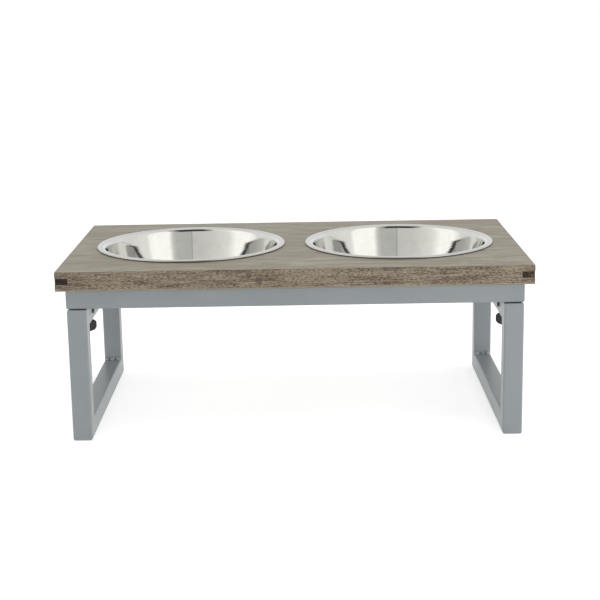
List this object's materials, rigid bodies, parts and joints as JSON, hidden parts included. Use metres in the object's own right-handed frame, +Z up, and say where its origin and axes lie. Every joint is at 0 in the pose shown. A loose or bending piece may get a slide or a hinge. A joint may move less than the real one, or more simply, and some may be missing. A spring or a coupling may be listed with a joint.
{
  "type": "elevated dog feeder",
  "caption": "Raised pet feeder: a wooden board holding lift-out steel bowls, on a square-tube frame whose legs fold inwards behind sprung latches.",
  "frame": {"origin": "on the floor, under the middle of the board", "axes": "+X to the right along the length, +Y to the rear, +Z up"},
  "size_m": [0.61, 0.355, 0.2311],
  "materials": {
    "board_wood": "grey-brown stain, matt",
    "key_wood": "dark stain, matt",
    "frame_paint": "blue-grey powder coat, satin",
    "bowl_steel": "polished stainless steel",
    "hinge_steel": "blue-grey powder coat, satin",
    "fastener_steel": "black zinc plate",
    "grip_plastic": "moulded, satin black",
    "glide_plastic": "matt dark",
    "pad_rubber": "matt black"
  },
  "bodies": {
    "top_frame": {"tabletop": "board_wood", "corner_keys": "key_wood", "top_screws": "fastener_steel", "front_rail": "frame_paint", "rear_rail": "frame_paint", "left_rail": "frame_paint", "right_rail": "frame_paint", "corner_gussets": "frame_paint", "centre_tabs": "frame_paint", "left_hinge_frame_leaf": "hinge_steel", "right_hinge_frame_leaf": "hinge_steel", "left_hinge_pin": "fastener_steel", "right_hinge_pin": "fastener_steel", "left_hinge_frame_rivets": "fastener_steel", "right_hinge_frame_rivets": "fastener_steel"},
    "left_leg": {"left_front_post": "frame_paint", "left_rear_post": "frame_paint", "left_top_bar": "frame_paint", "left_foot_bar": "frame_paint", "left_glides": "glide_plastic", "left_stop_pads": "pad_rubber", "left_hinge_leg_leaf": "hinge_steel", "left_hinge_leg_rivets": "fastener_steel", "left_front_latch_pin": "fastener_steel", "left_rear_latch_pin": "fastener_steel", "left_front_latch_bush": "fastener_steel", "left_rear_latch_bush": "fastener_steel", "left_front_latch_spring": "fastener_steel", "left_rear_latch_spring": "fastener_steel"},
    "right_leg": {"right_front_post": "frame_paint", "right_rear_post": "frame_paint", "right_top_bar": "frame_paint", "right_foot_bar": "frame_paint", "right_glides": "glide_plastic", "right_stop_pads": "pad_rubber", "right_hinge_leg_leaf": "hinge_steel", "right_hinge_leg_rivets": "fastener_steel", "right_front_latch_pin": "fastener_steel", "right_rear_latch_pin": "fastener_steel", "right_front_latch_bush": "fastener_steel", "right_rear_latch_bush": "fastener_steel", "right_front_latch_spring": "fastener_steel", "right_rear_latch_spring": "fastener_steel"},
    "left_bowl": {"left_bowl": "bowl_steel"},
    "right_bowl": {"right_bowl": "bowl_steel"},
    "left_front_latch": {"left_front_latch_catch": "fastener_steel", "left_front_latch_grip": "grip_plastic"},
    "left_rear_latch": {"left_rear_latch_catch": "fastener_steel", "left_rear_latch_grip": "grip_plastic"},
    "right_front_latch": {"right_front_latch_catch": "fastener_steel", "right_front_latch_grip": "grip_plastic"},
    "right_rear_latch": {"right_rear_latch_catch": "fastener_steel", "right_rear_latch_grip": "grip_plastic"}
  },
  "joints": [
    {"name": "left_leg_fold", "type": "hinge", "parent": "top_frame", "child": "left_leg", "pos_m": [-0.2651, 0, 0.17645], "axis": [0, -1, 0], "range_deg": [0, 90]},
    {"name": "right_leg_fold", "type": "hinge", "parent": "top_frame", "child": "right_leg", "pos_m": [0.2651, 0, 0.17645], "axis": [0, 1, 0], "range_deg": [0, 90]},
    {"name": "left_front_latch_squeeze", "type": "hinge", "parent": "left_leg", "child": "left_front_latch", "pos_m": [-0.2831, -0.1135, 0.163], "axis": [1, 0, 0], "range_deg": [0, 9], "stiffness_Nm_per_rad": 0.5, "springref_deg": -11.46, "deforming": ["left_front_latch_spring"]},
    {"name": "left_rear_latch_squeeze", "type": "hinge", "parent": "left_leg", "child": "left_rear_latch", "pos_m": [-0.2831, 0.1135, 0.163], "axis": [-1, 0, 0], "range_deg": [0, 9], "stiffness_Nm_per_rad": 0.5, "springref_deg": -11.46, "deforming": ["left_rear_latch_spring"]},
    {"name": "right_front_latch_squeeze", "type": "hinge", "parent": "right_leg", "child": "right_front_latch", "pos_m": [0.2831, -0.1135, 0.163], "axis": [1, 0, 0], "range_deg": [0, 9], "stiffness_Nm_per_rad": 0.5, "springref_deg": -11.46, "deforming": ["right_front_latch_spring"]},
    {"name": "right_rear_latch_squeeze", "type": "hinge", "parent": "right_leg", "child": "right_rear_latch", "pos_m": [0.2831, 0.1135, 0.163], "axis": [-1, 0, 0], "range_deg": [0, 9], "stiffness_Nm_per_rad": 0.5, "springref_deg": -11.46, "deforming": ["right_rear_latch_spring"]},
    {"name": "left_bowl_lift", "type": "slide", "parent": "top_frame", "child": "left_bowl", "axis": [0, 0, 1], "range_m": [0, 0.09]},
    {"name": "right_bowl_lift", "type": "slide", "parent": "top_frame", "child": "right_bowl", "axis": [0, 0, 1], "range_m": [0, 0.09]}
  ]
}
